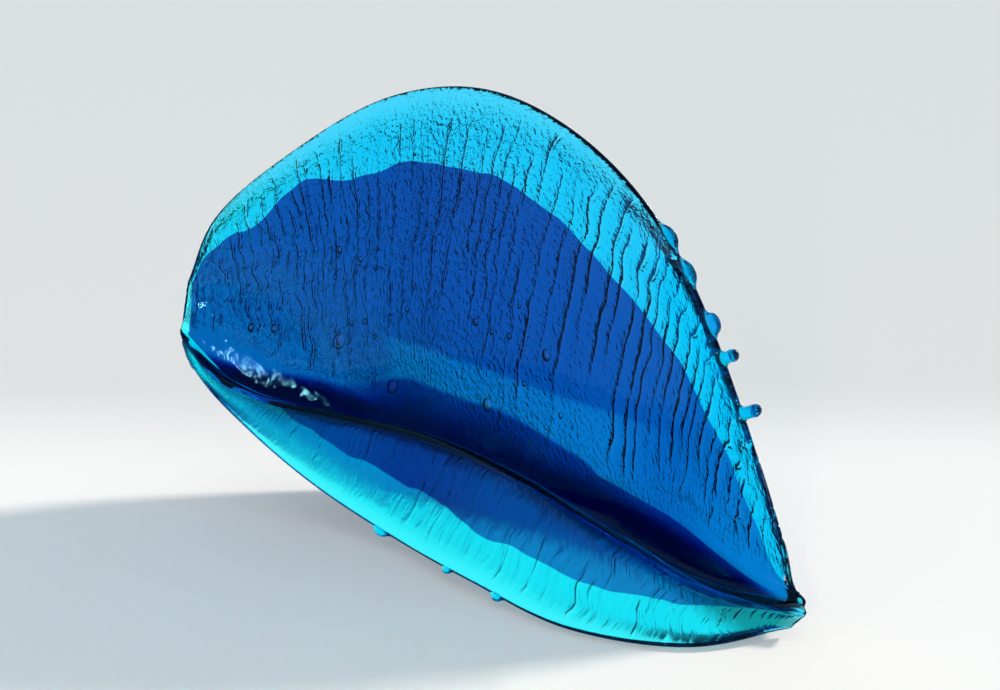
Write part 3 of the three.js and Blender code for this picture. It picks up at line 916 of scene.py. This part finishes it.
def make_floor():
    """A pale floor that glows for the camera; for light that came through glass it shows a painted pool
    of light under the lip and painted shade behind the keel.
    """
    corners = [(x * FLOOR_REACH, y * FLOOR_REACH, -FLOOR_DROP)
               for x, y in ((-1, -1), (1, -1), (1, 1), (-1, 1))]
    material = bpy.data.materials.new("pale_floor")
    material.use_nodes = True
    nodes, links = material.node_tree.nodes, material.node_tree.links
    nodes.remove(nodes["Principled BSDF"])
    diffuse = nodes.new("ShaderNodeBsdfDiffuse")
    diffuse.inputs["Color"].default_value = FLOOR_COLOUR
    place = nodes.new("ShaderNodeNewGeometry").outputs["Position"]
    path = nodes.new("ShaderNodeLightPath")
    near = nodes.new("ShaderNodeEmission")
    near.inputs["Color"].default_value = GLOW
    seen = ramp(nodes, links, place, AWAY, FLOOR_SEEN)
    glow = shade(nodes, "MULTIPLY", path.outputs["Is Camera Ray"], seen, links)
    links.new(glow, near.inputs["Strength"])
    lit = nodes.new("ShaderNodeAddShader")
    links.new(diffuse.outputs[0], lit.inputs[0])
    links.new(near.outputs[0], lit.inputs[1])
    # Seen through glass the floor is painted, not lit: a pool of light under the lip, shade behind the
    # keel
    through = nodes.new("ShaderNodeEmission")
    through.inputs["Strength"].default_value = THROUGH_LEVEL
    links.new(ramp(nodes, links, place, ACROSS, FLOOR_THROUGH), through.inputs["Color"])
    either = nodes.new("ShaderNodeMixShader")
    links.new(path.outputs["Is Transmission Ray"], either.inputs["Fac"])
    links.new(lit.outputs[0], either.inputs[1])
    links.new(through.outputs[0], either.inputs[2])
    links.new(either.outputs[0], nodes["Material Output"].inputs["Surface"])
    floor = make_object("floor", corners, [(0, 1, 2, 3)], material, smooth=False)


def make_world():
    """A bright backdrop behind the ornament, and a dim room round the camera."""
    world = bpy.data.worlds.new("studio")
    world.use_nodes = True
    nodes, links = world.node_tree.nodes, world.node_tree.links
    backdrop = nodes["Background"]
    backdrop.inputs["Color"].default_value = WORLD_COLOUR
    way = nodes.new("ShaderNodeTexCoord").outputs["Generated"]
    links.new(ramp(nodes, links, way, AWAY, WORLD_LEVELS), backdrop.inputs["Strength"])
    bpy.context.scene.world = world


def make_sun():
    data = bpy.data.lights.new("sun", "SUN")
    data.energy = SUN_LEVEL
    data.angle = math.radians(SUN_SPREAD)
    data.color = SUN_COLOUR
    sun = bpy.data.objects.new("sun", data)
    sun.rotation_euler = (-Vector(SUN_PLACE)).to_track_quat("-Z", "Y").to_euler()
    bpy.context.scene.collection.objects.link(sun)


def make_front_lamp():
    """Slanting strip of soft light behind the camera, for the bright marks in the trough."""
    first, last = (Vector(end) * MM for end in FRONT_LAMP_ENDS)
    middle = (first + last) / 2
    long_way = (first - last).normalized()
    face_way = (middle - Vector(VIEW_TARGET) * MM).normalized()
    wide_way = face_way.cross(long_way).normalized()
    data = bpy.data.lights.new("front_lamp", "AREA")
    data.shape = "RECTANGLE"
    data.size, data.size_y = (first - last).length, FRONT_LAMP_WIDTH
    data.energy = FRONT_LAMP_POWER
    data.color = FRONT_LAMP_COLOUR
    data.diffuse_factor = 0
    lamp = bpy.data.objects.new("front_lamp", data)
    lamp.location = middle
    axes = Matrix((long_way, wide_way, long_way.cross(wide_way))).transposed()
    lamp.rotation_euler = axes.to_euler()
    bpy.context.scene.collection.objects.link(lamp)


make_camera()
make_floor()
make_world()
make_sun()
make_front_lamp()
bpy.context.scene.view_settings.view_transform = "Standard"

base_sheet(glass_material("turquoise_glass", TURQUOISE, frosted=True))
cobalt_sheet(glass_material("cobalt_glass", COBALT, ior=FILM_IOR, textured=False))
rod = glass_material("rod_glass", TURQUOISE)
# Its denser copy paints shade on the drops, beads and knob
shaded_rod = glass_material("shaded_rod_glass", SHADED_TURQUOISE)
for number, spine in enumerate(FIN_SPINES, 1):
    rim_drop("fin_spine_%d" % number, 0, spine, rod if number > FIN_DROPS else shaded_rod)
for number, bead in enumerate(RIM_BEADS, 1):
    rim_drop("rim_bead_%d" % number, 1, bead, shaded_rod)
rim_drop("rim_knob", 1, RIM_KNOB, shaded_rod)
